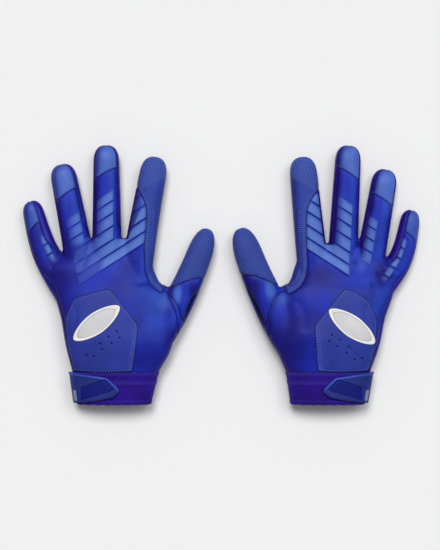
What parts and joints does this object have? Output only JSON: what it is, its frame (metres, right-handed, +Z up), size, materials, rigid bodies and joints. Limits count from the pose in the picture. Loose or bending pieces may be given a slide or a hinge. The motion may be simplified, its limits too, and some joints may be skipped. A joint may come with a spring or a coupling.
{
  "type": "batting gloves",
  "caption": "Pair of blue batting gloves laid palm down, hollow inside, with knit cuffs and hinged wrist closure tabs.",
  "frame": {"origin": "middle of the pair's footprint, on the surface that the gloves lie on", "axes": "+X from the left-hand glove to the right-hand one, +Y towards the fingertips, +Z up from the palms through the backs of the hands"},
  "size_m": [0.3392, 0.219, 0.0313],
  "materials": {
    "palm_leather": "soft blue sheepskin, matt",
    "stretch_fabric": "blue satin stretch fabric with raised strips",
    "gusset_fabric": "dark violet-blue stretch",
    "cap_leather": "smooth light blue leather",
    "patch_skin": "semi-matt blue synthetic leather with vents",
    "badge_skin": "plain white raised film",
    "cuff_knit": "dark violet-blue elastic knit",
    "elastic": "woven elastic",
    "moulded_tab": "moulded blue rubber, satin",
    "hook_and_loop": "hook and loop pad",
    "tag_fabric": "pale grey ribbon"
  },
  "bodies": {
    "gloves": {"left_palm_panel": "palm_leather", "left_back_panel": "stretch_fabric", "left_edge_gusset": "gusset_fabric", "left_little_ring_gusset": "gusset_fabric", "left_ring_middle_gusset": "gusset_fabric", "left_middle_index_gusset": "gusset_fabric", "left_little_fingertip_cap": "cap_leather", "left_ring_fingertip_cap": "cap_leather", "left_middle_fingertip_cap": "cap_leather", "left_index_finger_wrap": "palm_leather", "left_thumb_wrap": "palm_leather", "left_thumb_back_panel": "stretch_fabric", "left_thumb_palm_panel": "palm_leather", "left_back_patch": "patch_skin", "left_blank_badge": "badge_skin", "left_knit_cuff": "cuff_knit", "left_wrist_elastic": "elastic", "left_strap_anchor": "moulded_tab", "left_loop_pad": "hook_and_loop", "left_end_tag": "tag_fabric", "right_palm_panel": "palm_leather", "right_back_panel": "stretch_fabric", "right_edge_gusset": "gusset_fabric", "right_little_ring_gusset": "gusset_fabric", "right_ring_middle_gusset": "gusset_fabric", "right_middle_index_gusset": "gusset_fabric", "right_little_fingertip_cap": "cap_leather", "right_ring_fingertip_cap": "cap_leather", "right_middle_fingertip_cap": "cap_leather", "right_index_finger_wrap": "palm_leather", "right_thumb_wrap": "palm_leather", "right_thumb_back_panel": "stretch_fabric", "right_thumb_palm_panel": "palm_leather", "right_back_patch": "patch_skin", "right_blank_badge": "badge_skin", "right_knit_cuff": "cuff_knit", "right_wrist_elastic": "elastic", "right_strap_anchor": "moulded_tab", "right_loop_pad": "hook_and_loop", "right_end_tag": "tag_fabric"},
    "left_tab": {"left_closure_tab": "moulded_tab", "left_hook_pad": "hook_and_loop"},
    "right_tab": {"right_closure_tab": "moulded_tab", "right_hook_pad": "hook_and_loop"}
  },
  "joints": [
    {"name": "left_tab_peel", "type": "hinge", "parent": "gloves", "child": "left_tab", "pos_m": [-0.12066, -0.0963, 0.02381], "axis": [0, -0.9992, -0.0401], "range_deg": [0, 150]},
    {"name": "right_tab_peel", "type": "hinge", "parent": "gloves", "child": "right_tab", "pos_m": [0.12046, -0.0963, 0.02364], "axis": [0, 0.9979, 0.0644], "range_deg": [0, 150]}
  ]
}
